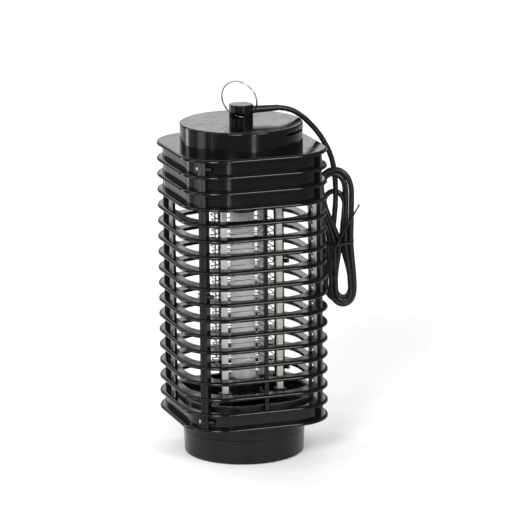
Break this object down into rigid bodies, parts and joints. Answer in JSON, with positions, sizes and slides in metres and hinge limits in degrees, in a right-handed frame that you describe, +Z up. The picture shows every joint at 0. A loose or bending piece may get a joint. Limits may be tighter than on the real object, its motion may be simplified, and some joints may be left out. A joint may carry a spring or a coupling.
{
  "type": "electric bug zapper",
  "caption": "Lantern-shaped plug-in insect zapper: slatted square case, lamp in a wire cage, wire hanging ring, round push-on tray and a tied power cord.",
  "frame": {"origin": "centre of the collection tray underside, which stands on the surface", "axes": "+Z up along the lamp; -Y is the front flat of the case; the cord leaves the knob towards +X"},
  "size_m": [0.1451, 0.112, 0.2804],
  "materials": {
    "case_plastic": "high gloss black ABS",
    "tray_plastic": "semi-gloss black ABS",
    "inner_plastic": "satin black",
    "post_plastic": "satin cream",
    "screw_steel": "zinc plated",
    "ring_wire": "bright plated",
    "grid_wire": "bright drawn wire",
    "lamp_glass": "frosted inside",
    "lamp_cap": "satin",
    "pin_brass": "satin",
    "board": "satin laminate",
    "ferrite": "matte",
    "copper": "enamelled",
    "capacitor_sleeve": "gloss sleeve",
    "diode_case": "matte",
    "lead_brown": "satin",
    "lead_blue": "satin",
    "cord_jacket": "satin PVC",
    "tie_plastic": "satin",
    "plug_plastic": "satin PVC",
    "blade_brass": "bright"
  },
  "bodies": {
    "case": {"case_half_front": "case_plastic", "case_half_rear": "case_plastic", "case_screw_1": "screw_steel", "case_screw_2": "screw_steel", "case_screw_3": "screw_steel", "case_screw_4": "screw_steel", "case_screw_5": "screw_steel", "case_screw_6": "screw_steel", "ceiling_plate": "inner_plastic", "grid_post_1": "post_plastic", "grid_post_2": "post_plastic", "grid_post_3": "post_plastic", "grid_post_4": "post_plastic", "grid_wire_live": "grid_wire", "grid_wire_return": "grid_wire", "lamp_tube": "lamp_glass", "lamp_cap_lower": "lamp_cap", "lamp_cap_upper": "lamp_cap", "lamp_pin_1": "pin_brass", "lamp_pin_2": "pin_brass", "lamp_pin_3": "pin_brass", "lamp_pin_4": "pin_brass", "lower_lamp_socket": "inner_plastic", "upper_lamp_socket": "inner_plastic", "grid_base": "inner_plastic", "funnel_floor": "inner_plastic", "tray_collar": "tray_plastic", "circuit_board": "board", "board_screw_1": "screw_steel", "board_screw_2": "screw_steel", "board_screw_3": "screw_steel", "board_screw_4": "screw_steel", "coil_core": "ferrite", "coil_winding": "copper", "capacitor_1": "capacitor_sleeve", "capacitor_2": "capacitor_sleeve", "capacitor_3": "capacitor_sleeve", "diode_1": "diode_case", "diode_2": "diode_case", "diode_3": "diode_case", "diode_4": "diode_case", "mains_lead_live": "lead_brown", "mains_lead_neutral": "lead_blue", "strain_relief": "plug_plastic", "power_cord": "cord_jacket", "cord_hank": "cord_jacket", "twist_tie": "tie_plastic", "plug_lead": "cord_jacket", "plug_body": "plug_plastic", "plug_blade_1": "blade_brass", "plug_blade_2": "blade_brass"},
    "ring": {"hanging_ring": "ring_wire"},
    "tray": {"collection_tray": "tray_plastic"}
  },
  "joints": [
    {"name": "ring_swing", "type": "hinge", "parent": "case", "child": "ring", "pos_m": [0, 0, 0.2545], "axis": [0.7071, -0.7071, 0], "range_deg": [-75, 85]},
    {"name": "tray_pull", "type": "slide", "parent": "case", "child": "tray", "axis": [0, 0, -1], "range_m": [0, 0.012]}
  ]
}
